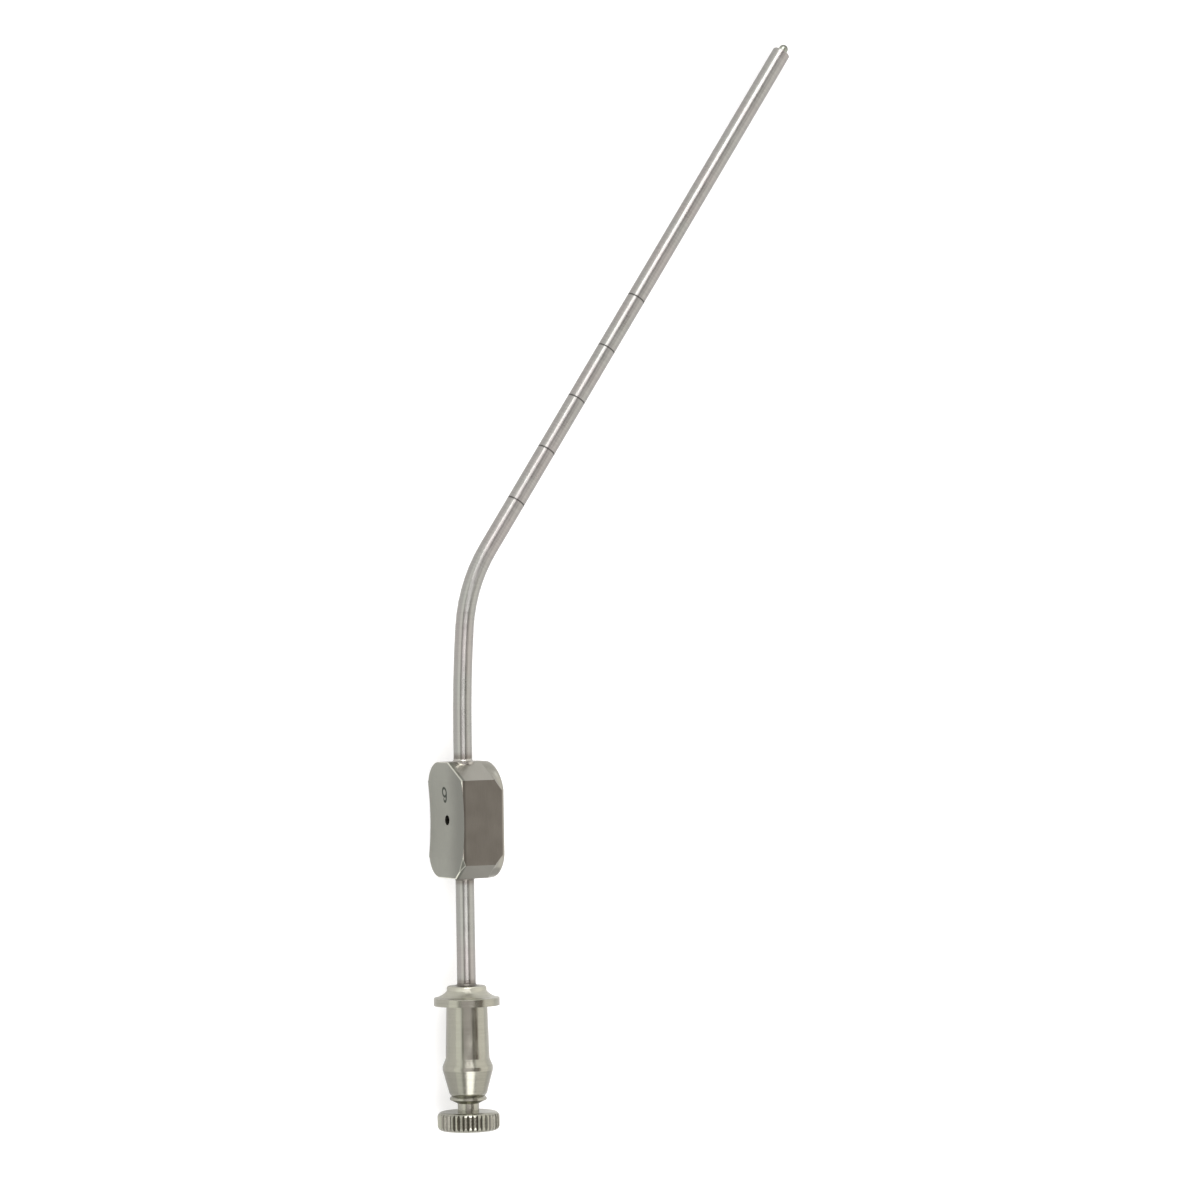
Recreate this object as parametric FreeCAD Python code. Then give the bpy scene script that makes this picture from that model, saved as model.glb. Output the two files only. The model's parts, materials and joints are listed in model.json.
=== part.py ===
import FreeCAD, Part
import math
import os

from FreeCAD import Vector

# A bent steel suction tube with a finger rest, a hose connector and its stylet pushed in.
# Sizes are in millimetres and degrees.
# Each piece is drawn with the handle's axis along +Y, the bend towards +X and the centre of the
# finger rest at zero. At the end all pieces are laid down together as the instrument comes to
# rest on a table, with +Z up.

# Suction tube
TUBE_OD = 3.0
TUBE_ID = 2.2
TIP_RIM_ROUND = 0.18
SHAFT_LENGTH = 99.1
BEND_ANGLE = 29.8
BEND_RADIUS = 25.8
LEAD_ANGLE = 4.5
LEAD_LENGTH = 17.0
STRAIGHT_ABOVE_REST = 4.6
STUB_LENGTH = 17.35
SOCKET_DEPTH = 8.0

# Finger rest: the block that the tube runs through
REST_LENGTH = 18.65
REST_WIDTH = 12.4
THUMB_FACE_TO_AXIS = 3.33
BACK_FACE_TO_AXIS = 4.35
FAR_CORNER_RADIUS = 3.8
TOP_FACET_RUN = 5.15
TOP_FACET_DROP = 2.85
LOW_FACET_RUN = 2.8
LOW_FACET_DROP = 2.2
BACK_EDGE_RADIUS = 0.6
BACK_TOP_RADIUS = 5.2
BACK_LOW_RADIUS = 4.4
FACET_DEPTH = 5.8
FACE_EDGE_ROUND = 0.2
DISH_DEPTH = 0.36
DISH_SHORT_OF_REST = 6.25
NICK_UP = 1.4
NICK_ALONG = 2.0
NICK_DEEP = 0.55
VENT_D = 1.6

# Hose connector, from its boss to its mouth
BOSS_D = 6.4
BOSS_LENGTH = 0.8
BOSS_EDGE_ROUND = 0.4
FLARE_LENGTH = 1.1
FLARE_LIP = 0.1
FLARE_MIDDLE_OUT = 0.4
FLARE_MIDDLE_DOWN = 0.62
FLANGE_D = 10.62
FLANGE_THICKNESS = 1.25
BARREL_D = 6.6
BARREL_END_D = 7.05
BARREL_LENGTH = 8.5
BARB_D = 8.1
BARB_RISE_LENGTH = 1.25
BARB_LAND = 0.6
NOSE_D = 6.3
NOSE_TAPER_LENGTH = 3.3
NOSE_ROUND_LENGTH = 0.9
NOSE_MIDDLE_OUT = 0.68
NOSE_MIDDLE_DOWN = 0.55
MOUTH_FACE_D = 5.3
CONNECTOR_BORE_D = 3.6

# Stylet: wire, collar, neck and knurled knob
WIRE_D = 1.5
WIRE_PAST_TIP = 1.4
WIRE_SOCKET_DEPTH = 3.5
COLLAR_D = 5.95
COLLAR_RIM = 0.6
COLLAR_SEAT_BEVEL = 0.3
COLLAR_CONE_LENGTH = 0.6
NECK_D = 3.45
NECK_LENGTH = 1.3
KNOB_D = 10.0
KNOB_THICKNESS = 3.05
KNOB_EDGE_ROUND = 0.85
GROOVE_COUNT = 40
GROOVE_DEPTH = 0.3
GROOVE_WIDTH = 0.58

# Solder seams round the tube
SEAM_SIZE = 0.45
BOSS_SEAM_SIZE = 0.45

# How far a cutter reaches past what it cuts, and how near a measured point has to be
PAST_CUT = 1.0
CLOSE = 0.01

# Places along the handle's axis, worked out from the sizes above
rest_top_y = REST_LENGTH / 2.0
rest_bottom_y = -REST_LENGTH / 2.0
lead_start_y = rest_top_y + STRAIGHT_ABOVE_REST
boss_y = rest_bottom_y - STUB_LENGTH
tube_start_y = boss_y - SOCKET_DEPTH
connector_length = (BOSS_LENGTH + FLARE_LENGTH + FLANGE_THICKNESS + BARREL_LENGTH + BARB_RISE_LENGTH
                    + BARB_LAND + NOSE_TAPER_LENGTH + NOSE_ROUND_LENGTH)
mouth_y = boss_y - connector_length
ALONG = Vector(0, 1, 0)


def corner_inset(radius):
    """How far the middle of a quarter round lies inside its square corner, along each side."""
    return radius * (1.0 - math.sqrt(0.5))


def heading(angle):
    """Direction in the bend's plane, at an angle from the handle's axis."""
    turn = math.radians(angle)
    return Vector(math.sin(turn), math.cos(turn), 0)


def tangent_arc(start, angle, turn, length):
    """Arc that leaves start at a heading and turns towards +X over its length; and its end."""
    radius = length / math.radians(turn)
    centre = start + heading(angle + 90.0) * radius
    middle = centre - heading(angle + 90.0 + turn / 2.0) * radius
    end = centre - heading(angle + 90.0 + turn) * radius
    return Part.Arc(start, middle, end).toShape(), end


def centreline(start_y, past_tip):
    """Path of the bent tube: handle stretch, gentle lead-in, bend and shaft; and its end."""
    start = Vector(0, start_y, 0)
    lead_start = Vector(0, lead_start_y, 0)
    handle = Part.LineSegment(start, lead_start).toShape()
    lead, lead_end = tangent_arc(lead_start, 0.0, LEAD_ANGLE, LEAD_LENGTH)
    bend_length = BEND_RADIUS * math.radians(BEND_ANGLE)
    bend, bend_end = tangent_arc(lead_end, LEAD_ANGLE, BEND_ANGLE, bend_length)
    shaft_end = bend_end + heading(LEAD_ANGLE + BEND_ANGLE) * (SHAFT_LENGTH + past_tip)
    shaft = Part.LineSegment(bend_end, shaft_end).toShape()
    return Part.Wire([handle, lead, bend, shaft]), shaft_end


def swept_rod(path, diameter):
    """Round rod along a path that starts on the handle's axis."""
    start = path.OrderedVertexes[0].Point
    section = Part.Wire(Part.makeCircle(diameter / 2.0, start, ALONG))
    return path.makePipe(Part.Face(section))


def axis_rod(diameter, low_y, high_y):
    """Round rod on the handle's axis."""
    return Part.makeCylinder(diameter / 2.0, high_y - low_y, Vector(0, low_y, 0), ALONG)


def vent_cutter():
    """Rod that opens the vent from the thumb face into the lumen."""
    length = THUMB_FACE_TO_AXIS + PAST_CUT
    return Part.makeCylinder(VENT_D / 2.0, length, Vector(-length, 0, 0), Vector(1, 0, 0))


def turned(edges):
    """Solid turned about the handle's axis from a closed outline in the X, Y plane."""
    outline = Part.Wire(Part.__sortEdges__(edges))
    return Part.Face(outline).revolve(Vector(0, 0, 0), ALONG, 360)


def polyline(points):
    """Straight edges from point to point; each point is a radius and a place on the axis."""
    corners = [Vector(radius, y, 0) for radius, y in points]
    return [Part.LineSegment(a, b).toShape() for a, b in zip(corners, corners[1:])]


def arc_through(first, middle, last):
    """One arc through three points, each a radius and a place on the axis."""
    a, b, c = [Vector(radius, y, 0) for radius, y in (first, middle, last)]
    return Part.Arc(a, b, c).toShape()


def suction_tube():
    path, tip = centreline(tube_start_y, 0.0)
    tube = swept_rod(path, TUBE_OD)
    rim = [edge for edge in tube.Edges if edge.CenterOfMass.distanceToPoint(tip) < CLOSE]
    tube = tube.makeFillet(TIP_RIM_ROUND, rim)
    bore_path = centreline(tube_start_y - PAST_CUT, PAST_CUT)[0]
    tube = tube.cut(swept_rod(bore_path, TUBE_ID))
    return tube.cut(vent_cutter())


def rounded_corner(y, radius, way):
    """Arc that rounds a near corner at the back: its first, middle and last point."""
    z = REST_WIDTH / 2.0 - radius
    inner = y - way * radius
    slant = radius - corner_inset(radius)
    return (y, z), (inner + way * slant, z + slant), (inner, z + radius)


def ground_facet(y, run, drop, way):
    """Straight facet ground across a near corner: its first, middle and last point."""
    z = REST_WIDTH / 2.0
    return (y, z - run), (y - way * drop / 2.0, z - run / 2.0), (y - way * drop, z)


def rest_outline(x, top, low):
    """Outline of the finger rest as the thumb sees it, with its two near corners given."""
    radius = FAR_CORNER_RADIUS
    inset = corner_inset(radius)
    far_z = -REST_WIDTH / 2.0
    low_middle = (rest_bottom_y + inset, far_z + inset)
    top_middle = (rest_top_y - inset, far_z + inset)
    far_low = (rest_bottom_y, far_z + radius), low_middle, (rest_bottom_y + radius, far_z)
    far_top = (rest_top_y - radius, far_z), top_middle, (rest_top_y, far_z + radius)
    corners = [top, low[::-1], far_low, far_top]
    edges = []
    for corner, following in zip(corners, corners[1:] + corners[:1]):
        first, middle, last = [Vector(x, y, z) for y, z in corner]
        onward = Vector(x, following[0][0], following[0][1])
        if (middle - first).cross(last - first).Length < CLOSE:
            edges.append(Part.LineSegment(first, last).toShape())
        else:
            edges.append(Part.Arc(first, middle, last).toShape())
        edges.append(Part.LineSegment(last, onward).toShape())
    return Part.Wire(edges)


def faceted_block():
    """Block with straight facets at the thumb's side that turn into rounded corners at the back."""
    top_facet = ground_facet(rest_top_y, TOP_FACET_RUN, TOP_FACET_DROP, 1)
    low_facet = ground_facet(rest_bottom_y, LOW_FACET_RUN, LOW_FACET_DROP, -1)
    top_round = rounded_corner(rest_top_y, BACK_TOP_RADIUS, 1)
    low_round = rounded_corner(rest_bottom_y, BACK_LOW_RADIUS, -1)
    thumb_side = Part.Face(rest_outline(-THUMB_FACE_TO_AXIS, top_facet, low_facet))
    front = thumb_side.extrude(Vector(FACET_DEPTH, 0, 0))
    middle = rest_outline(FACET_DEPTH - THUMB_FACE_TO_AXIS, top_facet, low_facet)
    back = rest_outline(BACK_FACE_TO_AXIS, top_round, low_round)
    block = front.fuse(Part.makeLoft([middle, back], True, True)).removeSplitter()
    rim = [edge for edge in block.Edges if edge.BoundBox.XMin > BACK_FACE_TO_AXIS - CLOSE]
    return block.makeFillet(BACK_EDGE_RADIUS, rim)


def thumb_dish():
    """Wide cylinder that hollows the thumb face along its length."""
    half = (REST_LENGTH - DISH_SHORT_OF_REST) / 2.0
    radius = (half * half + DISH_DEPTH * DISH_DEPTH) / (2.0 * DISH_DEPTH)
    centre = Vector(-THUMB_FACE_TO_AXIS + DISH_DEPTH - radius, 0, -REST_WIDTH)
    return Part.makeCylinder(radius, 2.0 * REST_WIDTH, centre, Vector(0, 0, 1))


def thumb_face_rim(block):
    """Edges that bound the thumb face, which is made of several smooth faces."""
    front = [face for face in block.Faces if face.normalAt(0.5, 0.5).x < -0.9]
    edges = [edge for face in front for edge in face.Edges]
    return [edge for edge in edges if sum(edge.isSame(other) for other in edges) == 1]


def corner_nick():
    """Wedge that grinds off the near lower corner of the thumb face."""
    corner = Vector(-THUMB_FACE_TO_AXIS, rest_bottom_y + LOW_FACET_DROP, REST_WIDTH / 2.0)
    low_facet = Vector(0, -LOW_FACET_DROP, -LOW_FACET_RUN).normalize()
    high = corner + Vector(0, NICK_UP, 0)
    low = corner + low_facet * NICK_ALONG
    deep = corner + Vector(NICK_DEEP, 0, 0)
    middle = (high + low + deep) / 3.0
    wide = [middle + (point - middle) * (1.0 + PAST_CUT / NICK_DEEP) for point in (high, low, deep)]
    outward = (corner - middle).normalize() * REST_WIDTH
    return Part.Face(Part.makePolygon(wide + wide[:1])).extrude(outward)


def finger_rest():
    block = faceted_block().cut(thumb_dish())
    block = block.makeFillet(FACE_EDGE_ROUND, thumb_face_rim(block))
    block = block.cut(corner_nick())
    block = block.cut(axis_rod(TUBE_OD, rest_bottom_y - PAST_CUT, rest_top_y + PAST_CUT))
    return block.cut(vent_cutter())


def connector_outline():
    """Outer outline from the boss to the mouth: straight runs, the flare and the rounded nose."""
    boss_r = BOSS_D / 2.0
    flange_r = FLANGE_D / 2.0
    lip_r = flange_r - FLARE_LIP
    boss_end = boss_y - BOSS_LENGTH
    flange_y = boss_end - FLARE_LENGTH
    barrel_y = flange_y - FLANGE_THICKNESS
    rise_y = barrel_y - BARREL_LENGTH
    land_y = rise_y - BARB_RISE_LENGTH
    taper_y = land_y - BARB_LAND
    nose_y = taper_y - NOSE_TAPER_LENGTH
    edge = BOSS_EDGE_ROUND
    inset = corner_inset(edge)
    flare_out = boss_r + (lip_r - boss_r) * FLARE_MIDDLE_OUT
    flare_middle = (flare_out, boss_end - FLARE_LENGTH * FLARE_MIDDLE_DOWN)
    nose_r = NOSE_D / 2.0
    face_r = MOUTH_FACE_D / 2.0
    nose_out = face_r + (nose_r - face_r) * NOSE_MIDDLE_OUT
    nose_middle = (nose_out, nose_y - NOSE_ROUND_LENGTH * NOSE_MIDDLE_DOWN)
    start = [(TUBE_OD / 2.0, boss_y), (boss_r - edge, boss_y)]
    boss_round = (boss_r - inset, boss_y - inset)
    flange = [(lip_r, flange_y), (flange_r, flange_y - FLARE_LIP), (flange_r, barrel_y)]
    barrel = [(BARREL_D / 2.0, barrel_y), (BARREL_END_D / 2.0, rise_y)]
    barb = [(BARB_D / 2.0, land_y), (BARB_D / 2.0, taper_y), (nose_r, nose_y)]
    edges = polyline(start)
    edges.append(arc_through((boss_r - edge, boss_y), boss_round, (boss_r, boss_y - edge)))
    edges += polyline([(boss_r, boss_y - edge), (boss_r, boss_end)])
    edges.append(arc_through((boss_r, boss_end), flare_middle, (lip_r, flange_y)))
    edges += polyline(flange + barrel + barb)
    edges.append(arc_through((nose_r, nose_y), nose_middle, (face_r, mouth_y)))
    return edges


def hose_connector():
    bore_r = CONNECTOR_BORE_D / 2.0
    inside = polyline([
        (MOUTH_FACE_D / 2.0, mouth_y),
        (bore_r, mouth_y),
        (bore_r, tube_start_y),
        (TUBE_OD / 2.0, tube_start_y),
        (TUBE_OD / 2.0, boss_y),
    ])
    return turned(connector_outline() + inside)


def stylet_wire():
    path, end = centreline(mouth_y - WIRE_SOCKET_DEPTH, WIRE_PAST_TIP - WIRE_D / 2.0)
    dome = Part.makeSphere(WIRE_D / 2.0, end)
    return swept_rod(path, WIRE_D).fuse(dome).removeSplitter()


def knurl_grooves(low_y, high_y):
    """Straight V-shaped grooves cut round the knob's rim, a little longer than the knob is thick."""
    knob_r = KNOB_D / 2.0
    start = low_y - PAST_CUT
    half_width = GROOVE_WIDTH / 2.0 * (GROOVE_DEPTH + PAST_CUT) / GROOVE_DEPTH
    root = Vector(knob_r - GROOVE_DEPTH, start, 0)
    left = Vector(knob_r + PAST_CUT, start, -half_width)
    right = Vector(knob_r + PAST_CUT, start, half_width)
    section = Part.Face(Part.makePolygon([root, left, right, root]))
    groove = section.extrude(ALONG * (high_y - low_y + 2.0 * PAST_CUT))
    grooves = []
    for index in range(GROOVE_COUNT):
        copy = groove.copy()
        copy.rotate(Vector(0, 0, 0), ALONG, 360.0 * index / GROOVE_COUNT)
        grooves.append(copy)
    return grooves


def stylet_head():
    collar_r = COLLAR_D / 2.0
    neck_r = NECK_D / 2.0
    knob_r = KNOB_D / 2.0
    edge = KNOB_EDGE_ROUND
    rim_y = mouth_y - COLLAR_RIM
    neck_y = rim_y - COLLAR_CONE_LENGTH
    knob_top = neck_y - NECK_LENGTH
    knob_low = knob_top - KNOB_THICKNESS
    corner = corner_inset(edge)
    edges = polyline([
        (0, knob_low),
        (0, mouth_y),
        (collar_r - COLLAR_SEAT_BEVEL, mouth_y),
        (collar_r, mouth_y - COLLAR_SEAT_BEVEL),
        (collar_r, rim_y),
        (neck_r, neck_y),
        (neck_r, knob_top),
        (knob_r - edge, knob_top),
    ])
    high_corner = (knob_r - corner, knob_top - corner)
    low_corner = (knob_r - corner, knob_low + corner)
    edges.append(arc_through((knob_r - edge, knob_top), high_corner, (knob_r, knob_top - edge)))
    edges += polyline([(knob_r, knob_top - edge), (knob_r, knob_low + edge)])
    edges.append(arc_through((knob_r, knob_low + edge), low_corner, (knob_r - edge, knob_low)))
    edges += polyline([(knob_r - edge, knob_low), (0, knob_low)])
    head = turned(edges)
    head = head.cut(axis_rod(WIRE_D, mouth_y - WIRE_SOCKET_DEPTH, mouth_y + PAST_CUT))
    return head.cut(Part.makeCompound(knurl_grooves(knob_low, knob_top)))


def solder_seam(y, side, size):
    """Hollow-sided fillet of solder round the tube; side is +1 above a face and -1 below it."""
    tube_r = TUBE_OD / 2.0
    outer = tube_r + size
    top = y + side * size
    foot = y - side * size
    hollow = corner_inset(size)
    edges = polyline([(outer, y), (outer, foot), (tube_r, foot), (tube_r, top)])
    edges.append(arc_through((tube_r, top), (tube_r + hollow, y + side * hollow), (outer, y)))
    return turned(edges)


def lay_angle():
    """Angle about +Y at which the rest's rounded back edge and the tube's tip touch the table."""
    tip = centreline(tube_start_y, 0.0)[1]
    reach = tip.x - (BACK_FACE_TO_AXIS - BACK_EDGE_RADIUS)
    height = REST_WIDTH / 2.0 - BACK_EDGE_RADIUS
    gain = (BACK_EDGE_RADIUS - TUBE_OD / 2.0) / math.hypot(reach, height)
    return math.degrees(math.atan2(height, reach) + math.asin(gain))


def laid_down(pieces):
    """All pieces turned to rest on the table, with zero under the middle of the whole."""
    turn = lay_angle()
    for shape in pieces.values():
        shape.rotate(Vector(0, 0, 0), ALONG, turn)
    box = Part.makeCompound(list(pieces.values())).optimalBoundingBox()
    shift = Vector(-box.Center.x, -box.Center.y, -box.ZMin)
    for shape in pieces.values():
        shape.translate(shift)
    print("turned about the handle's axis by", round(turn, 4), "degrees")
    print("finger rest's centre is at", [round(value, 4) for value in shift])
    print("box", [round(value, 3) for value in (box.XLength, box.YLength, box.ZLength)])
    return pieces


def main():
    os.makedirs("parts", exist_ok=True)
    rest = finger_rest()
    connector = hose_connector()
    pieces = {
        "suction_tube": suction_tube(),
        "finger_rest": rest,
        "hose_connector": connector,
        "stylet_wire": stylet_wire(),
        "stylet_head": stylet_head(),
        "solder_above_rest": solder_seam(rest_top_y, 1, SEAM_SIZE).cut(rest),
        "solder_below_rest": solder_seam(rest_bottom_y, -1, SEAM_SIZE).cut(rest),
        "solder_at_connector": solder_seam(boss_y, 1, BOSS_SEAM_SIZE).cut(connector),
    }
    for name, shape in laid_down(pieces).items():
        shape.exportStep("parts/" + name + ".step")
        print(name, "solids", len(shape.Solids), "volume", round(shape.Volume, 2), "valid", shape.isValid())


main()
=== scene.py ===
"""Looks of a bent suction tube with its stylet, around the solids of the CAD pack."""
import json
import math

import bpy
from mathutils import Matrix, Vector

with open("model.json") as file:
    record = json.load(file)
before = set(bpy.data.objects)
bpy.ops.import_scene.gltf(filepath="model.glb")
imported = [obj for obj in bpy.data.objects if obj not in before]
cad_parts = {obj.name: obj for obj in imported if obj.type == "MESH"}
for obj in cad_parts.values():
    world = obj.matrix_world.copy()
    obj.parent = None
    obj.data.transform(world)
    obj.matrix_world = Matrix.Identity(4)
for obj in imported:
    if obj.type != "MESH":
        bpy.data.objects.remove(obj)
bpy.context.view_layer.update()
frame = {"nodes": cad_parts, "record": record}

MM = 0.001

# Camera, in the instrument's own axes and from the middle of the finger rest
CAMERA_PLACE_MM = (-360.67, 37.33, 739.54)
CAMERA_YAW = 27.56
CAMERA_PITCH = 0.168
CAMERA_ROLL = 0.906
FOCAL_LENGTH_PX = 5120.4
IMAGE_PX = 1200
SENSOR_MM = 36.0
CLIP_START = 0.01
CLIP_END = 20.0

# Rounded rim of the tube's tip, which the shaft's mount leaves out
TIP_RIM_MM = 0.18

# Values that noise seldom passes: it is spread over a range from these two
NOISE_RANGE = (0.3, 0.7)

# Scale, detail and roughness of the noise that fine lines are drawn from
LINE_NOISE = (1.0, 3.0, 0.6)

# First and second input and the output of a mix node, for each kind of value
MIX_SOCKETS = {"FLOAT": (2, 3, 0), "VECTOR": (4, 5, 1), "RGBA": (6, 7, 2)}

mounts = {entry["name"]: entry for entry in frame["record"]["mounts"]}


def mount(name):
    """Place and axis of one of the record's mounts."""
    entry = mounts[name]
    return Vector(entry["pos_m"]), Vector(entry["axis"]).normalized()


barb_place, barb_axis = mount("hose_barb")
side_place, SIDEWARD = mount("finger_rest_side")
shaft_place, SHAFTWARD = mount("working_shaft")
half_shaft = mounts["working_shaft"]["dims"]["length_mm"] * MM / 2.0

ALONG = -barb_axis
BENDWARD = ALONG.cross(SIDEWARD)
THUMBWARD = -BENDWARD
REST_MIDDLE = Vector((barb_place.x, side_place.y, barb_place.z))
TIP = shaft_place + SHAFTWARD * (half_shaft + TIP_RIM_MM * MM)
BEND_END = shaft_place - SHAFTWARD * half_shaft


class Nodes:
    """Short calls for building the node tree of a new material or world."""

    def __init__(self, owner):
        owner.use_nodes = True
        self.tree = owner.node_tree
        self.tree.nodes.clear()

    def add(self, kind, **values):
        node = self.tree.nodes.new(kind)
        for name, value in values.items():
            setattr(node, name, value)
        return node

    def plug(self, value, socket):
        """Links a socket, or sets a plain value, with colours given without their alpha."""
        if isinstance(value, bpy.types.NodeSocket):
            self.tree.links.new(value, socket)
        elif socket.type == "RGBA":
            socket.default_value = (*value, 1.0)
        else:
            socket.default_value = value

    def plug_all(self, values, sockets):
        for value, socket in zip(values, sockets):
            self.plug(value, socket)

    def end(self, kind, shader):
        """Sends a shader to the tree's output node."""
        self.plug(shader, self.add(kind).inputs[0])

    def math(self, operation, first, second=0.0):
        node = self.add("ShaderNodeMath", operation=operation)
        self.plug_all((first, second), node.inputs)
        return node.outputs[0]

    def product(self, first, second):
        return self.math("MULTIPLY", first, second)

    def total(self, first, second):
        return self.math("ADD", first, second)

    def minus(self, first, second):
        return self.math("SUBTRACT", first, second)

    def dimmed(self, value, share):
        """Value with a share of it taken away."""
        return self.product(value, self.minus(1.0, share))

    def length(self, first, second):
        """Length of a line from its two legs."""
        squares = self.total(self.product(first, first), self.product(second, second))
        return self.math("SQRT", squares)

    def vector(self, operation, first, second=(0.0, 0.0, 0.0)):
        node = self.add("ShaderNodeVectorMath", operation=operation)
        self.plug_all((first, second), node.inputs)
        return node.outputs["Value"] if operation == "DOT_PRODUCT" else node.outputs["Vector"]

    def dot(self, vector, axis):
        """How far a vector reaches along a plain axis."""
        return self.vector("DOT_PRODUCT", vector, tuple(axis))

    def ramp(self, value, low, high, to_low=0.0, to_high=1.0):
        """Value mapped smoothly from one range to another, held at both ends."""
        node = self.add("ShaderNodeMapRange", interpolation_type="SMOOTHSTEP", clamp=True)
        self.plug_all((value, low, high, to_low, to_high), node.inputs)
        return node.outputs[0]

    def spread(self, noise, low, high):
        """Noise mapped to a range."""
        return self.ramp(noise, *NOISE_RANGE, low, high)

    def between(self, value, low, high):
        """One between two values, zero outside."""
        above = self.math("GREATER_THAN", value, low)
        return self.product(above, self.math("LESS_THAN", value, high))

    def window(self, value, opening, closing, height=1.0):
        """Height between two soft edges, each given by its start and end, zero outside."""
        return self.product(self.ramp(value, *opening), self.ramp(value, *closing, height, 0.0))

    def mix(self, kind, factor, first, second, blend="MIX"):
        """Blend of two numbers, vectors or colours."""
        node = self.add("ShaderNodeMix", data_type=kind, blend_type=blend)
        into_first, into_second, out = MIX_SOCKETS[kind]
        sockets = node.inputs["Factor"], node.inputs[into_first], node.inputs[into_second]
        self.plug_all((factor, first, second), sockets)
        return node.outputs[out]

    def tinted(self, colour, tint):
        """One colour multiplied by another."""
        return self.mix("RGBA", 1.0, colour, tint, "MULTIPLY")

    def combine(self, x, y, z):
        node = self.add("ShaderNodeCombineXYZ")
        self.plug_all((x, y, z), node.inputs)
        return node.outputs[0]

    def noise(self, place, scale, detail, roughness):
        node = self.add("ShaderNodeTexNoise", noise_dimensions="3D")
        sockets = [node.inputs[name] for name in ("Vector", "Scale", "Detail", "Roughness")]
        self.plug_all((place, scale, detail, roughness), sockets)
        return node.outputs["Fac"]

    def place(self):
        """Point on the surface in the row's frame, in metres."""
        return self.add("ShaderNodeTexCoord").outputs["Object"]


def distance_along(nodes, axis, origin):
    """Distance in millimetres from an origin, along an axis."""
    away = nodes.vector("SUBTRACT", nodes.place(), tuple(origin))
    return nodes.product(nodes.dot(away, axis), 1.0 / MM)


def axis_place(nodes, along, across, origin):
    """Distance in millimetres along an axis, and the two distances across it."""
    axes = (along, across, along.cross(across))
    return [distance_along(nodes, axis, origin) for axis in axes]


def fine_lines(nodes, spot, along_per_mm, across_per_mm):
    """Noise drawn out into lines, along the direction that has the lower rate."""
    rates = (along_per_mm, across_per_mm, across_per_mm)
    return nodes.noise(nodes.vector("MULTIPLY", spot, rates), *LINE_NOISE)


def toned(nodes, base, factor):
    """Base colour made lighter or darker by a factor."""
    colour = nodes.add("ShaderNodeVectorMath", operation="SCALE")
    nodes.plug(base, colour.inputs[0])
    nodes.plug(factor, colour.inputs["Scale"])
    return colour.outputs["Vector"]


def metal(name, base, roughness, anisotropy, finish):
    """Metal whose tone, roughness and fine relief come from a function of its own."""
    material = bpy.data.materials.new(name)
    nodes = Nodes(material)
    shader = nodes.add("ShaderNodeBsdfPrincipled")
    nodes.plug(1.0, shader.inputs["Metallic"])
    nodes.plug(anisotropy, shader.inputs["Anisotropic"])
    nodes.end("ShaderNodeOutputMaterial", shader.outputs[0])
    finish(nodes, shader, base, roughness)
    material.diffuse_color = (*base, 1.0)
    return material


def finish_metal(nodes, shader, colour, roughness, height, relief_mm):
    """Plugs the colour, the roughness and the relief in."""
    nodes.plug(colour, shader.inputs["Base Color"])
    nodes.plug(roughness, shader.inputs["Roughness"])
    bump = nodes.add("ShaderNodeBump")
    nodes.plug(1.0, bump.inputs["Strength"])
    nodes.plug(relief_mm * MM, bump.inputs["Distance"])
    nodes.plug(height, bump.inputs["Height"])
    nodes.plug(bump.outputs[0], shader.inputs["Normal"])


# Depth marks on the shaft from the tube's tip, and a mark's soft edge as shares of its width
FIRST_MARK_MM = 50.0
LAST_MARK_MM = 90.0
MARK_STEP_MM = 10.0
MARK_WIDTH_MM = 0.24
MARK_EDGE = (0.35, 0.65)
MARK_MARGIN_MM = 1.0
MARK_INK = (0.05, 0.048, 0.045)
MARK_STRENGTH = 0.8

# Numeral and depth marks are this much rougher than the steel around them
INK_ROUGHNESS = 0.25


def depth_marks(nodes, from_tip):
    """One on the marks round the shaft, zero off them."""
    half_step = MARK_STEP_MM / 2.0
    cycle = nodes.math("PINGPONG", nodes.total(from_tip, half_step), half_step)
    edge = [MARK_WIDTH_MM * share for share in MARK_EDGE]
    line = nodes.ramp(nodes.minus(half_step, cycle), *edge, 1.0, 0.0)
    marked = (FIRST_MARK_MM - MARK_MARGIN_MM, LAST_MARK_MM + MARK_MARGIN_MM)
    return nodes.product(nodes.between(from_tip, *marked), line)


# Ends of the finger rest and of the connector's boss along the handle
REST_END_MM = 9.33
BOSS_END_MM = -26.68

# Seams where the solder's heat has tinted the tube, and where painted shade darkens it below the
# rest and above the connector's boss: place along the handle, the way that the tint spreads from
# there, where it fades, and its strength
SHADED_AND_HEATED_SEAMS = (
    (REST_END_MM, 1.0, (0.7, 1.7), 1.0),
    (-REST_END_MM, -1.0, (0.6, 1.4), 0.9),
    (BOSS_END_MM, 1.0, (0.6, 1.4), 0.9),
)
SEAM_TINT_START_MM = (0.0, 0.3)
HEAT_TINT_AND_SHADE = (0.155, 0.13, 0.11)
HEAT_AND_SHADE_STRENGTH = 0.6


def seam_heat_and_shade(nodes):
    """How far heat tint and painted shade darken the tube beside its seams, from zero to one."""
    up_handle = distance_along(nodes, ALONG, REST_MIDDLE)
    heat_and_shade = 0.0
    for seam, way, fading, strength in SHADED_AND_HEATED_SEAMS:
        away = nodes.product(nodes.minus(up_handle, seam), way)
        glow = nodes.window(away, SEAM_TINT_START_MM, fading, strength)
        heat_and_shade = nodes.math("MAXIMUM", heat_and_shade, glow)
    return heat_and_shade


# Bend, by the way along the line half way between handle and shaft: where the pattern changes
# from one axis to the other, and over what length the brushing turns
PATTERN_CHANGE_MM = -6.0
BRUSHING_TURN_MM = (-16.0, 2.0)

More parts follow.
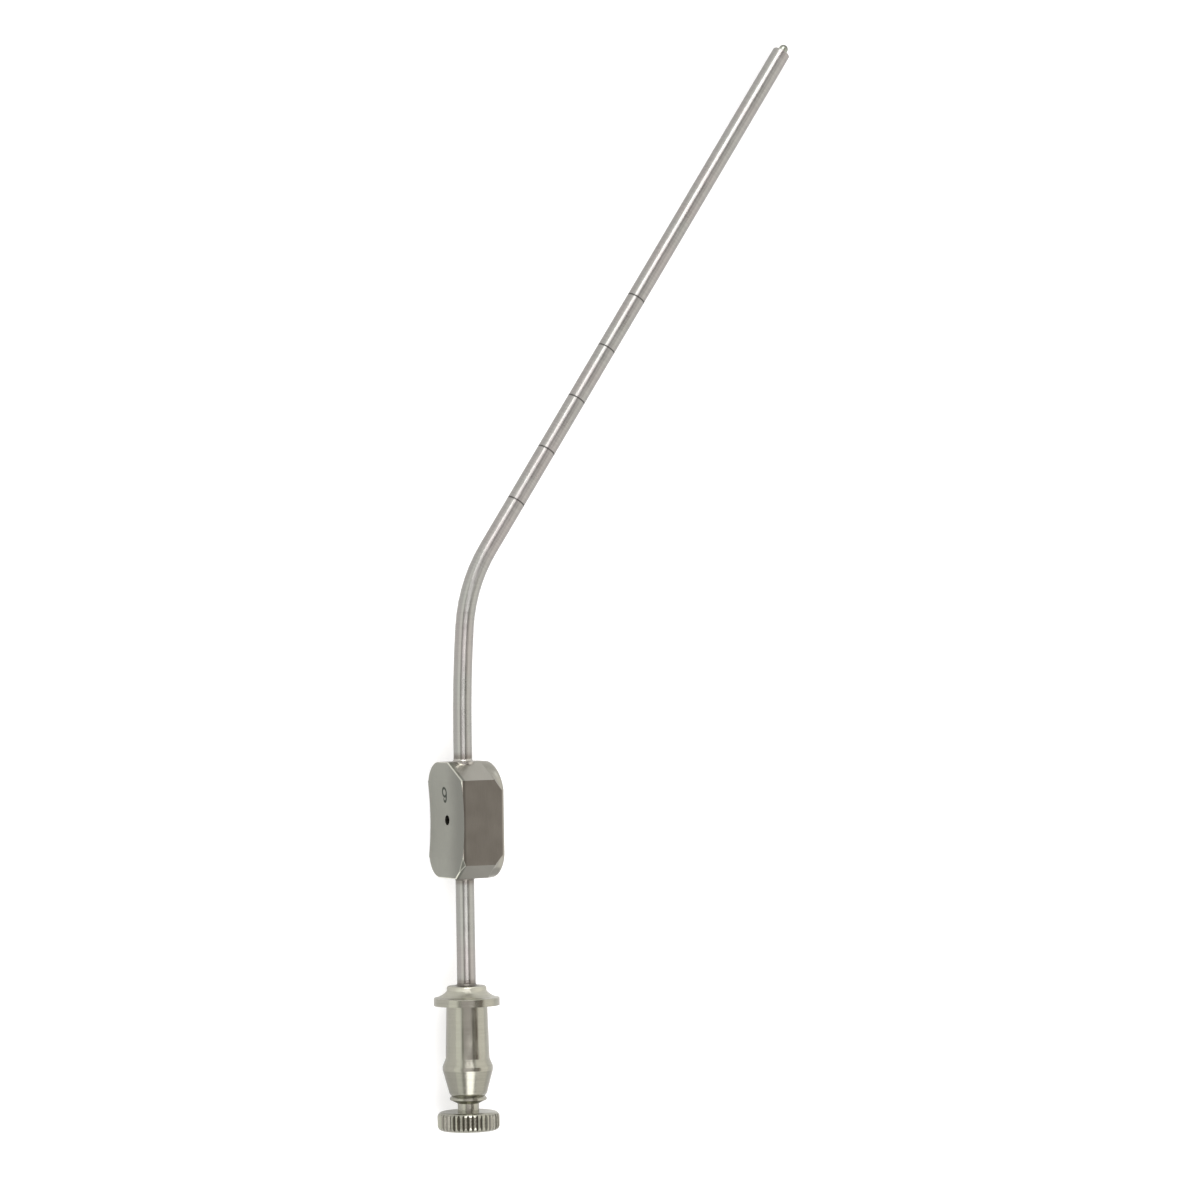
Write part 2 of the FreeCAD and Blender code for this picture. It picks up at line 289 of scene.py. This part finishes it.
# Tube's rings, by their rates per millimetre along and across, and the scale, detail and
# roughness of the noise for its clouds and its blotches of hue
TUBE_RINGS = (4.2, 0.12)
TUBE_CLOUDS = (0.35, 3.0, 0.55)
TUBE_BLOTCHES = (0.13, 2.0, 0.5)
BLOTCH_RANGE = (0.35, 0.65)

# Tones, hues and relief on the tube's handle and on its shaft
HANDLE_STREAKS = (0.965, 1.03)
SHAFT_STREAKS = (0.9, 1.07)
CLOUD_TONES = (-0.03, 0.03)
TUBE_ROUGHENING = (-0.03, 0.03)
PURPLE_HUE = (1.01, 0.965, 1.005)
BLUE_HUE = (0.99, 0.995, 1.02)
HANDLE_HUE = (1.03, 1.045, 1.03)
PLAIN_HUE = (1.0, 1.0, 1.0)
HANDLE_RELIEF = 0.03
SHAFT_RELIEF = 0.25
TUBE_RELIEF_MM = 0.004


def brushed_tube(nodes, shader, base, roughness):
    """Brushing round the tube that follows its bend, with heat tint, painted shade at its seams,
    and depth marks.
    """
    handle = axis_place(nodes, ALONG, SIDEWARD, BEND_END)
    shaft = axis_place(nodes, SHAFTWARD, SIDEWARD, TIP)
    passed = distance_along(nodes, (ALONG + SHAFTWARD).normalized(), BEND_END)
    on_shaft = nodes.math("GREATER_THAN", passed, PATTERN_CHANGE_MM)
    along, across = [nodes.mix("FLOAT", on_shaft, handle[i], shaft[i]) for i in (0, 2)]
    spot = nodes.combine(along, shaft[1], across)
    rings = fine_lines(nodes, spot, *TUBE_RINGS)
    cloud = nodes.noise(spot, *TUBE_CLOUDS)
    turn = nodes.ramp(passed, *BRUSHING_TURN_MM)
    mark = depth_marks(nodes, nodes.product(shaft[0], -1.0))

    streaks = [nodes.mix("FLOAT", turn, *ends) for ends in zip(HANDLE_STREAKS, SHAFT_STREAKS)]
    tone = nodes.total(nodes.spread(rings, *streaks), nodes.spread(cloud, *CLOUD_TONES))
    blotch = nodes.ramp(nodes.noise(spot, *TUBE_BLOTCHES), *BLOTCH_RANGE)
    hue = nodes.mix("RGBA", blotch, PURPLE_HUE, BLUE_HUE)
    hue = nodes.tinted(hue, nodes.mix("RGBA", turn, HANDLE_HUE, PLAIN_HUE))
    steel = nodes.tinted(toned(nodes, base, tone), hue)
    # Heat tint, and painted shade below the rest and above the connector's boss
    heat_and_shade = nodes.product(seam_heat_and_shade(nodes), HEAT_AND_SHADE_STRENGTH)
    steel = nodes.mix("RGBA", heat_and_shade, steel, HEAT_TINT_AND_SHADE)
    colour = nodes.mix("RGBA", nodes.product(mark, MARK_STRENGTH), steel, MARK_INK)

    rough = nodes.total(nodes.spread(cloud, *TUBE_ROUGHENING), roughness)
    rough = nodes.total(rough, nodes.product(mark, INK_ROUGHNESS))
    relief = nodes.product(rings, nodes.mix("FLOAT", turn, HANDLE_RELIEF, SHAFT_RELIEF))
    finish_metal(nodes, shader, colour, rough, nodes.minus(relief, mark), TUBE_RELIEF_MM)
    tangent = nodes.mix("VECTOR", turn, tuple(ALONG), tuple(SHAFTWARD))
    nodes.plug(nodes.vector("NORMALIZE", tangent), shader.inputs["Tangent"])


# Wire: draw marks along it, and its rounded end from the tube's tip, darkened with painted shade
WIRE_LINES = (0.5, 9.0)
WIRE_STREAKS = (0.88, 1.06)
WIRE_ROUGHENING = (-0.03, 0.05)
WIRE_RELIEF_MM = 0.003
WIRE_DOME_MM = (0.45, 1.1)
WIRE_DOME_SHADE = 0.42


def drawn_wire(nodes, shader, base, roughness):
    """Fine draw marks along the wire, with painted shade on its rounded end."""
    place = axis_place(nodes, SHAFTWARD, SIDEWARD, TIP)
    marks = fine_lines(nodes, nodes.combine(*place), *WIRE_LINES)
    # Painted shade on the wire's rounded end
    dome_shade = nodes.ramp(place[0], *WIRE_DOME_MM, 1.0, WIRE_DOME_SHADE)
    tone = nodes.product(nodes.spread(marks, *WIRE_STREAKS), dome_shade)
    rough = nodes.total(nodes.spread(marks, *WIRE_ROUGHENING), roughness)
    finish_metal(nodes, shader, toned(nodes, base, tone), rough, marks, WIRE_RELIEF_MM)


# Turned parts: rate of their lines across the axis, and the clouds in their tone
TURNING_ACROSS = 0.05
TURNED_CLOUDS = (0.4, 3.0, 0.55)
TURNED_STREAKS = (0.94, 1.05)
TURNED_ROUGHENING = (-0.03, 0.04)

# Straight part of the knurled rim along the handle, with painted shade where its grooves are deep
KNURL_MM = (-49.6, -47.2)
GROOVE_RADII_MM = (4.74, 4.93)
GROOVE_SHADE = 0.42

# Lower edge of the boss and the flare, which the solder's flux has left rougher, and which a
# painted sheen makes paler
FROSTED_MM = (-28.8, -28.3)
FLARE_PAINTED_LIGHT = 0.32
FROSTED_ROUGHNESS = 0.12

# Boss along the handle, where polishing has rounded it, and the slope that this gives it
BOSS_MM = (-27.5, -27.05)
BOSS_SLOPE = 0.4

# Soft ends of the barb's taper along the handle, between which painted shade darkens the taper to
# dim its highlight
BARB_LOW_END_MM = (-44.2, -43.9)
BARB_TOP_END_MM = (-40.3, -40.15)
TAPER_PAINTED_SHADE = 0.2


def turned_about_handle(rings_per_mm, relief_mm):
    """Finish of a part that was turned about the handle's axis."""
    def finish(nodes, shader, base, roughness):
        along, across, aside = axis_place(nodes, ALONG, SIDEWARD, REST_MIDDLE)
        spot = nodes.combine(along, across, aside)
        rings = fine_lines(nodes, spot, rings_per_mm, TURNING_ACROSS)
        cloud = nodes.noise(spot, *TURNED_CLOUDS)
        radius = nodes.length(across, aside)
        # Painted shade deep in the knurl's grooves
        deep = nodes.ramp(radius, *GROOVE_RADII_MM, GROOVE_SHADE, 0.0)
        groove_shading = nodes.product(nodes.between(along, *KNURL_MM), deep)
        # Painted sheen makes the flare paler; its added roughness is part of the finish
        frost_and_sheen = nodes.ramp(along, *FROSTED_MM)
        # Painted shade over the barb's taper
        taper_shade = nodes.window(along, BARB_LOW_END_MM, BARB_TOP_END_MM)

        streaks = nodes.spread(rings, *TURNED_STREAKS)
        tone = nodes.total(streaks, nodes.spread(cloud, *CLOUD_TONES))
        tone = nodes.dimmed(tone, groove_shading)
        tone = nodes.product(tone, nodes.total(1.0, nodes.product(frost_and_sheen, FLARE_PAINTED_LIGHT)))
        tone = nodes.dimmed(tone, nodes.product(taper_shade, TAPER_PAINTED_SHADE))
        rough = nodes.total(nodes.spread(cloud, *TURNED_ROUGHENING), roughness)
        rough = nodes.total(rough, nodes.product(frost_and_sheen, FROSTED_ROUGHNESS))
        on_boss = nodes.math("MINIMUM", nodes.math("MAXIMUM", along, BOSS_MM[0]), BOSS_MM[1])
        height = nodes.total(rings, nodes.product(on_boss, -BOSS_SLOPE / relief_mm))
        finish_metal(nodes, shader, toned(nodes, base, tone), rough, height, relief_mm)
    return finish


# Numeral on the thumb face, in the instrument's own axes
NUMERAL_HEIGHT_MM = 2.6
NUMERAL_WIDTH_MM = 1.75
NUMERAL_MIDDLE_MM = (4.05, -0.5)
NUMERAL_LINE_MM = 0.42
NUMERAL_INK = (0.035, 0.045, 0.035)
NUMERAL_STRENGTH = 0.88

# Half the ring's height as a share of the numeral's, where the tail ends as shares of the
# ring's half width and half height, and a stroke's soft edge as shares of its half width
RING_SHARE = 0.26
TAIL_END_ACROSS = 0.75
TAIL_END_DOWN = 1.3
STROKE_EDGE = (0.6, 1.3)
LEAST_DIVISOR = 0.1


def numeral_nine(nodes, up, across):
    """One on the strokes of a figure 9 about the middle of the numeral, zero off them."""
    half_line = NUMERAL_LINE_MM / 2.0
    ring_x = NUMERAL_WIDTH_MM / 2.0 - half_line
    ring_y = NUMERAL_HEIGHT_MM * RING_SHARE
    ring_up = NUMERAL_HEIGHT_MM / 2.0 - half_line - ring_y
    tail_y = ring_up + NUMERAL_HEIGHT_MM / 2.0 - half_line
    above = nodes.minus(up, ring_up)

    def ellipse(radius_x, radius_y):
        """One on a stroke along an ellipse, by its distance divided by its steepness."""
        x = nodes.math("DIVIDE", across, radius_x)
        y = nodes.math("DIVIDE", above, radius_y)
        length = nodes.length(x, y)
        steep = nodes.length(nodes.math("DIVIDE", x, radius_x), nodes.math("DIVIDE", y, radius_y))
        steep = nodes.math("DIVIDE", steep, nodes.math("MAXIMUM", length, LEAST_DIVISOR))
        off = nodes.math("ABSOLUTE", nodes.minus(length, 1.0))
        off = nodes.math("DIVIDE", off, nodes.math("MAXIMUM", steep, LEAST_DIVISOR))
        return nodes.ramp(off, *[half_line * share for share in STROKE_EDGE], 1.0, 0.0)

    low_half = nodes.math("LESS_THAN", above, 0.0)
    before_end = nodes.math("GREATER_THAN", across, -ring_x * TAIL_END_ACROSS)
    right = nodes.math("GREATER_THAN", across, 0.0)
    below = nodes.math("LESS_THAN", above, -ring_y * TAIL_END_DOWN)
    tail = nodes.product(ellipse(ring_x, tail_y), low_half)
    tail = nodes.product(tail, before_end)
    tail = nodes.product(tail, nodes.math("MAXIMUM", right, below))
    return nodes.math("MAXIMUM", ellipse(ring_x, ring_y), tail)


# Painted highlight in a streak from the tube over the top facet: start and heading across the
# handle, soft side, soft end, how far it goes back and how far down the facet, and its tone
STREAK_FROM_MM = (-0.6, 1.3)
STREAK_HEADING = (-0.83, 0.56)
STREAK_SIDE_MM = (0.08, 0.24)
STREAK_END_MM = (1.9, 2.5)
STREAK_BACK_MM = -0.2
STREAK_LOW_MM = (-1.8, -1.5)
STREAK_HIGHLIGHT = 1.2


def highlight_streak(nodes, along, near, bendward):
    """One on the painted highlight streak, zero off it."""
    x = nodes.minus(bendward, STREAK_FROM_MM[0])
    z = nodes.minus(near, STREAK_FROM_MM[1])
    head_x, head_z = STREAK_HEADING
    run = nodes.total(nodes.product(x, head_x), nodes.product(z, head_z))
    aside = nodes.minus(nodes.product(x, head_z), nodes.product(z, head_x))
    side = nodes.ramp(nodes.math("ABSOLUTE", aside), *STREAK_SIDE_MM, 1.0, 0.0)
    streak = nodes.product(side, nodes.ramp(run, *STREAK_END_MM, 1.0, 0.0))
    streak = nodes.product(streak, nodes.math("GREATER_THAN", run, STREAK_BACK_MM))
    on_facet = nodes.ramp(along, *[REST_END_MM + low for low in STREAK_LOW_MM])
    return nodes.product(streak, on_facet)


# Thumb face: soft start of its finish, out from the handle's axis, and the painted shade that
# darkens it toward its near side
FACE_START_MM = (2.55, 2.85)
FACE_SHADE_MM = (-0.5, 5.0)
FACE_SHADE_TONES = (1.03, 0.68)

# Rounded rim of the thumb face, with a painted highlight: where it starts, how far it turns to
# the thumb, and the highlight's added tone along the face and beyond the start of the top facet
RIM_START_MM = (2.45, 2.65)
RIM_FACING = ((0.02, 0.1), (0.9, 0.985))
RIM_TOP_MM = (6.1, 6.7)
RIM_HIGHLIGHT_TONES = (2.0, 1.0)

# Ground nick at the low near corner of the thumb face: its facing, where its three edges with
# painted highlights start, and the painted shade added inside it and highlight at its edges
NICK_FACING = (0.794, -0.312, 0.522)
NICK_FACING_RANGE = (0.97, 0.99)
NICK_THUMB_EDGE_MM = (3.22, 3.28)
NICK_NEAR_EDGE_MM = (6.08, 6.14)
NICK_LOW_EDGE_MM = (9.27, 9.35)
NICK_SHADE_AND_HIGHLIGHT = (-0.2, 0.5)

# Low facet, by its facing along the handle and to the near side, and how much painted shade
# darkens it
LOW_FACET_FACING = (-0.786, 0.618)
LOW_FACET_FACING_RANGE = (0.96, 0.99)
LOW_FACET_SHADE = 0.3

# Near flank, by how squarely it faces the near side, where a dark reflection is painted
FLANK_FACING_RANGE = (0.93, 0.985)

# Rest's scratches, clouds and waves, its hues, and the painted dark reflection on its near flank
REST_LINES = (0.6, 14.0)
REST_STREAKS = (0.96, 1.03)
REST_CLOUDS = (0.3, 3.0, 0.5)
REST_CLOUD_TONES = (-0.02, 0.02)
REST_ROUGHENING = (-0.01, 0.015)
REST_WAVES = (0.22, 1.0, 0.4)
REST_HUE = (0.95, 0.94, 0.9)
FACE_HUE = (0.86, 0.88, 0.83)
FLANK_PAINTED_REFLECTION = (0.68, 0.645, 0.615)

# Heights of scratches, waves and numeral, as multiples of the rest's relief
GRAIN_RELIEF = 0.2
WAVE_RELIEF = 3.5
NUMERAL_RELIEF = 2.0
REST_RELIEF_MM = 0.008


def satin_rest(nodes, shader, base, roughness):
    """Hand-finished satin with fine scratches along the rest, and the gauge number."""
    along, near, bendward = axis_place(nodes, ALONG, SIDEWARD, REST_MIDDLE)
    thumbward = nodes.product(bendward, -1.0)
    spot = nodes.combine(along, near, bendward)
    normal = nodes.add("ShaderNodeNewGeometry").outputs["Normal"]
    grain = fine_lines(nodes, spot, *REST_LINES)
    cloud = nodes.noise(spot, *REST_CLOUDS)
    on_face = nodes.ramp(thumbward, *FACE_START_MM)
    flank = nodes.ramp(nodes.dot(normal, SIDEWARD), *FLANK_FACING_RANGE)
    low_normal = ALONG * LOW_FACET_FACING[0] + SIDEWARD * LOW_FACET_FACING[1]
    low_facet = nodes.ramp(nodes.dot(normal, low_normal), *LOW_FACET_FACING_RANGE)

    nick_axes = (THUMBWARD, ALONG, SIDEWARD)
    nick_normal = sum((axis * part for axis, part in zip(nick_axes, NICK_FACING)), Vector())
    nick = nodes.ramp(nodes.dot(normal, nick_normal), *NICK_FACING_RANGE)
    low_side = nodes.dot(spot, (*LOW_FACET_FACING, 0.0))
    # Painted shade inside the nick and painted highlights along its edges
    nick_edge_highlight = nodes.math("MAXIMUM", nodes.ramp(thumbward, *NICK_THUMB_EDGE_MM),
                           nodes.ramp(near, *NICK_NEAR_EDGE_MM))
    nick_edge_highlight = nodes.math("MAXIMUM", nick_edge_highlight, nodes.ramp(low_side, *NICK_LOW_EDGE_MM))
    # Painted highlight along the thumb face's rounded rim
    rim_highlight = nodes.window(nodes.dot(normal, THUMBWARD), *RIM_FACING)
    rim_highlight = nodes.dimmed(nodes.product(rim_highlight, nodes.ramp(thumbward, *RIM_START_MM)), nick)

    tone = nodes.total(nodes.spread(grain, *REST_STREAKS),
                       nodes.spread(cloud, *REST_CLOUD_TONES))
    # Painted shade toward the thumb face's near side
    face_shade = nodes.product(nodes.ramp(near, *FACE_SHADE_MM), on_face)
    tone = nodes.product(tone, nodes.mix("FLOAT", face_shade, *FACE_SHADE_TONES))
    # Painted highlight along a streak over the top facet
    streak = highlight_streak(nodes, along, near, bendward)
    rim_highlight_tone = nodes.ramp(along, *RIM_TOP_MM, *RIM_HIGHLIGHT_TONES)
    nick_shade_and_highlight = nodes.mix("FLOAT", nick_edge_highlight, *NICK_SHADE_AND_HIGHLIGHT)
    for inside, added in ((streak, STREAK_HIGHLIGHT), (rim_highlight, rim_highlight_tone), (nick, nick_shade_and_highlight)):
        tone = nodes.total(tone, nodes.product(inside, added))
    # Painted shade on the low facet
    tone = nodes.dimmed(tone, nodes.product(low_facet, LOW_FACET_SHADE))

    up = nodes.minus(along, NUMERAL_MIDDLE_MM[0])
    across = nodes.minus(near, NUMERAL_MIDDLE_MM[1])
    mark = nodes.product(numeral_nine(nodes, up, across), on_face)
    hue = nodes.mix("RGBA", on_face, REST_HUE, FACE_HUE)
    # Painted dark reflection on the near flank
    hue = nodes.mix("RGBA", flank, hue, FLANK_PAINTED_REFLECTION)
    steel = nodes.tinted(toned(nodes, base, tone), hue)
    colour = nodes.mix("RGBA", nodes.product(mark, NUMERAL_STRENGTH), steel, NUMERAL_INK)

    rough = nodes.total(nodes.spread(cloud, *REST_ROUGHENING), roughness)
    rough = nodes.total(rough, nodes.product(mark, INK_ROUGHNESS))
    wave = nodes.product(nodes.noise(spot, *REST_WAVES), WAVE_RELIEF)
    height = nodes.total(nodes.product(grain, GRAIN_RELIEF), wave)
    height = nodes.minus(height, nodes.product(mark, NUMERAL_RELIEF))
    finish_metal(nodes, shader, colour, rough, height, REST_RELIEF_MM)


# Solder's lumps and fine grain, with the grain's tones and its share of the relief
SOLDER_LUMPS = (1.6, 3.0, 0.5)
SOLDER_GRAIN = (9.0, 3.0, 0.6)
SOLDER_TONES = (0.9, 1.08)
SOLDER_ROUGHENING = (-0.05, 0.08)
SOLDER_GRAIN_RELIEF = 0.15
SOLDER_RELIEF_MM = 0.06


def frosted_solder(nodes, shader, base, roughness):
    """Solder fillet, a little lumpy, with a fine grain."""
    spot = nodes.vector("MULTIPLY", nodes.place(), (1.0 / MM, 1.0 / MM, 1.0 / MM))
    lumps = nodes.noise(spot, *SOLDER_LUMPS)
    grain = nodes.noise(spot, *SOLDER_GRAIN)
    tone = nodes.spread(grain, *SOLDER_TONES)
    rough = nodes.total(nodes.spread(grain, *SOLDER_ROUGHENING), roughness)
    height = nodes.total(lumps, nodes.product(grain, SOLDER_GRAIN_RELIEF))
    finish_metal(nodes, shader, toned(nodes, base, tone), rough, height, SOLDER_RELIEF_MM)


STEEL = (0.348, 0.344, 0.32)
TURNED_STEEL = (0.346, 0.342, 0.292)
WIRE_STEEL = (0.31, 0.325, 0.28)
BRIGHT_SOLDER = (0.42, 0.405, 0.375)
# Solder below the rest and at the connector is painted dark: painted shade where the tube meets
# them
SHADED_SOLDER = (0.16, 0.15, 0.135)

turned_connector = turned_about_handle(rings_per_mm=6.0, relief_mm=0.004)
turned_knob = turned_about_handle(rings_per_mm=5.0, relief_mm=0.005)

# Material, base colour, roughness, anisotropy, finish, and the nodes that have it
METALS = (
    ("tube_steel", STEEL, 0.3, 0.93, brushed_tube, ["suction_tube"]),
    ("rest_steel", STEEL, 0.3, 0.0, satin_rest, ["finger_rest"]),
    ("connector_steel", TURNED_STEEL, 0.2, 0.6, turned_connector, ["hose_connector"]),
    ("wire_steel", WIRE_STEEL, 0.3, 0.0, drawn_wire, ["stylet_wire"]),
    ("knob_steel", TURNED_STEEL, 0.2, 0.4, turned_knob, ["stylet_head"]),
    ("solder_silver", BRIGHT_SOLDER, 0.24, 0.0, frosted_solder, ["solder_above_rest"]),
    ("solder_shaded", SHADED_SOLDER, 0.3, 0.0, frosted_solder,
     ["solder_below_rest", "solder_at_connector"]),
)

for name, base, roughness, anisotropy, finish, dressed in METALS:
    material = metal(name, base, roughness, anisotropy, finish)
    for node in dressed:
        for slot in frame["nodes"][node].material_slots:
            slot.material = material


# Table top: width in metres, colour, and what its glow adds for the camera and in reflections
FLOOR_WIDTH = 6.0
FLOOR_COLOUR = (0.62, 0.62, 0.62)
SEEN_GLOW = 0.48
MIRRORED_GLOW = 0.14


def floor():
    """Plain table top, white to the camera and pale in the steel, that takes the shadow."""
    bpy.ops.mesh.primitive_plane_add(size=FLOOR_WIDTH, location=(0.0, 0.0, 0.0))
    plane = bpy.context.object
    plane.name = "floor"
    material = bpy.data.materials.new("table_top")
    nodes = Nodes(material)
    diffuse = nodes.add("ShaderNodeBsdfDiffuse")
    nodes.plug(FLOOR_COLOUR, diffuse.inputs["Color"])
    glow = nodes.add("ShaderNodeEmission")
    path = nodes.add("ShaderNodeLightPath").outputs
    mirrored = nodes.math("MAXIMUM", path["Is Glossy Ray"], path["Is Transmission Ray"])
    mirrored = nodes.product(mirrored, MIRRORED_GLOW)
    seen = nodes.product(path["Is Camera Ray"], SEEN_GLOW)
    nodes.plug(nodes.math("MAXIMUM", seen, mirrored), glow.inputs["Strength"])
    both = nodes.add("ShaderNodeAddShader")
    nodes.plug_all((diffuse.outputs[0], glow.outputs[0]), both.inputs)
    nodes.end("ShaderNodeOutputMaterial", both.outputs[0])
    plane.data.materials.append(material)


def put_in_scene(name, data, matrix):
    """Object for a camera or a lamp, at its place."""
    item = bpy.data.objects.new(name, data)
    bpy.context.scene.collection.objects.link(item)
    item.matrix_world = matrix
    return item


def camera():
    """Camera at the photograph's viewing angle."""
    data = bpy.data.cameras.new("camera")
    data.sensor_fit = "HORIZONTAL"
    data.sensor_width = SENSOR_MM
    data.lens = SENSOR_MM * FOCAL_LENGTH_PX / IMAGE_PX
    data.clip_start = CLIP_START
    data.clip_end = CLIP_END
    matrix = Matrix((BENDWARD, ALONG, SIDEWARD)).transposed().to_4x4()
    matrix.translation = REST_MIDDLE
    matrix = matrix @ Matrix.Translation(Vector(CAMERA_PLACE_MM) * MM)
    for angle, axis in ((CAMERA_YAW, "Y"), (CAMERA_PITCH, "X"), (CAMERA_ROLL, "Z")):
        matrix = matrix @ Matrix.Rotation(math.radians(-angle), 4, axis)
    item = put_in_scene("camera", data, matrix)
    bpy.context.scene.camera = item
    return item


# Softboxes: direction by the picture's axes, width and height in metres, and power in watts
SOFTBOXES = (
    ("far_softbox", (0.13, 1.31, 1.0), (0.62, 0.36), 4.2),
    ("near_softbox", (0.3, -0.78, 1.0), (0.6, 0.85), 5.6),
    ("rear_softbox", (0.1, 1.0, 0.3), (0.4, 0.3), 1.3),
)


def softbox(name, view, direction, size, power):
    """Rectangular lamp a metre from the middle of the finger rest, turned toward it."""
    data = bpy.data.lights.new(name, "AREA")
    data.shape = "RECTANGLE"
    data.size, data.size_y = size
    data.energy = power
    axes = [view.matrix_world.col[index].to_3d() for index in range(3)]
    toward = sum((axis * part for axis, part in zip(axes, direction)), Vector()).normalized()
    across = (axes[0] - toward * axes[0].dot(toward)).normalized()
    matrix = Matrix((across, toward.cross(across), toward)).transposed().to_4x4()
    matrix.translation = REST_MIDDLE + toward
    put_in_scene(name, data, matrix)


# Pale room, and the patches in it that the steel shows: angles round the handle from the
# camera, angles of rise along it, width of the soft edge, all in degrees, and tint
ROOM_COLOUR = (0.97, 0.97, 0.955)
ROOM_PATCHES = (
    ((54.0, 106.0), (-60.0, 60.0), 10.0, (1.36, 1.32, 1.26)),
    ((-62.0, -34.0), (-60.0, 60.0), 6.0, (1.4, 1.4, 1.34)),
    ((-16.0, 28.0), (-60.0, 60.0), 5.0, (0.78, 0.73, 0.74)),
    ((-26.0, -21.0), (-70.0, 70.0), 4.0, (0.4, 0.4, 0.36)),
    ((30.0, 40.0), (-60.0, 60.0), 4.0, (0.2, 0.18, 0.155)),
    ((47.0, 59.0), (-9.0, 3.0), 5.0, (0.22, 0.175, 0.145)),
)


def studio_world(view):
    """Pale room with the bright and dark patches that the steel shows."""
    world = bpy.data.worlds.new("studio")
    bpy.context.scene.world = world
    nodes = Nodes(world)
    direction = nodes.add("ShaderNodeTexCoord").outputs["Generated"]
    toward = view.matrix_world.col[2].to_3d()
    toward = (toward - ALONG * toward.dot(ALONG)).normalized()
    sideways = nodes.dot(direction, ALONG.cross(toward))
    turn = nodes.math("ARCTAN2", sideways, nodes.dot(direction, toward))
    rise = nodes.math("ARCSINE", nodes.dot(direction, ALONG))
    angles = [nodes.product(angle, math.degrees(1.0)) for angle in (turn, rise)]
    colour = ROOM_COLOUR
    for turns, rises, soft, tint in ROOM_PATCHES:
        inside = [nodes.window(angle, (low - soft, low), (high, high + soft))
                  for angle, (low, high) in zip(angles, (turns, rises))]
        colour = nodes.mix("RGBA", nodes.product(*inside), colour, tint)
    background = nodes.add("ShaderNodeBackground")
    nodes.plug_all((colour, 1.0), (background.inputs["Color"], background.inputs["Strength"]))
    nodes.end("ShaderNodeOutputWorld", background.outputs[0])


view = camera()
floor()
studio_world(view)
for name, direction, size, power in SOFTBOXES:
    softbox(name, view, direction, size, power)

bpy.context.scene.view_settings.view_transform = "Standard"
